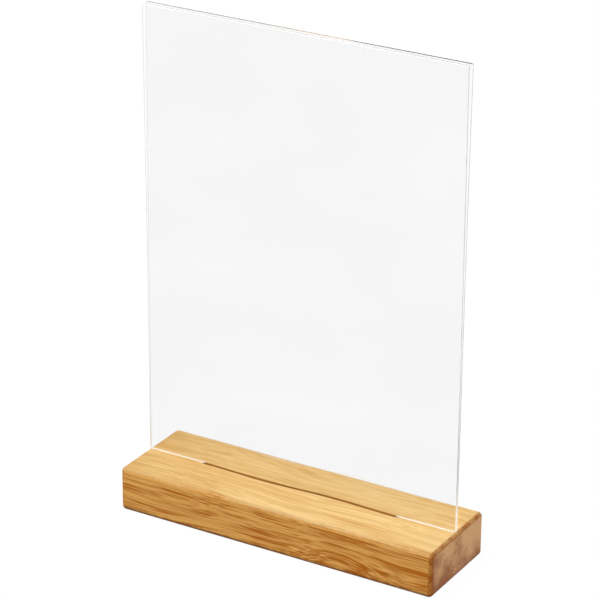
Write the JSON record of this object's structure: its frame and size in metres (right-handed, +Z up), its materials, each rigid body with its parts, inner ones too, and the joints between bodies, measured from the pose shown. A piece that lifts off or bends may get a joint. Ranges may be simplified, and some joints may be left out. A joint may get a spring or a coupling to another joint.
{
  "type": "menu holder",
  "caption": "Table-top menu holder: thin clear T-shaped acrylic leaves stand in a slot along a rounded oak block and hold a menu sheet upright between them.",
  "frame": {"origin": "middle of the oak block's underside, on the surface it stands on", "axes": "+Z up along the leaves, +X along the block, -Y towards the viewer of the front leaf"},
  "size_m": [0.15, 0.045, 0.2202],
  "materials": {
    "oiled_oak": "sanded solid oak with a clear satin oil",
    "clear_acrylic": "clear cast acrylic sheet, polished faces and cut edges"
  },
  "bodies": {
    "base": {"oak_base": "oiled_oak"},
    "front_leaf": {"front_leaf": "clear_acrylic"},
    "back_leaf": {"back_leaf": "clear_acrylic"}
  },
  "joints": [
    {"name": "front_leaf_lift", "type": "slide", "parent": "base", "child": "front_leaf", "axis": [0, 0, 1], "range_m": [0, 0.04]},
    {"name": "back_leaf_lift", "type": "slide", "parent": "base", "child": "back_leaf", "axis": [0, 0, 1], "range_m": [0, 0.04]}
  ]
}
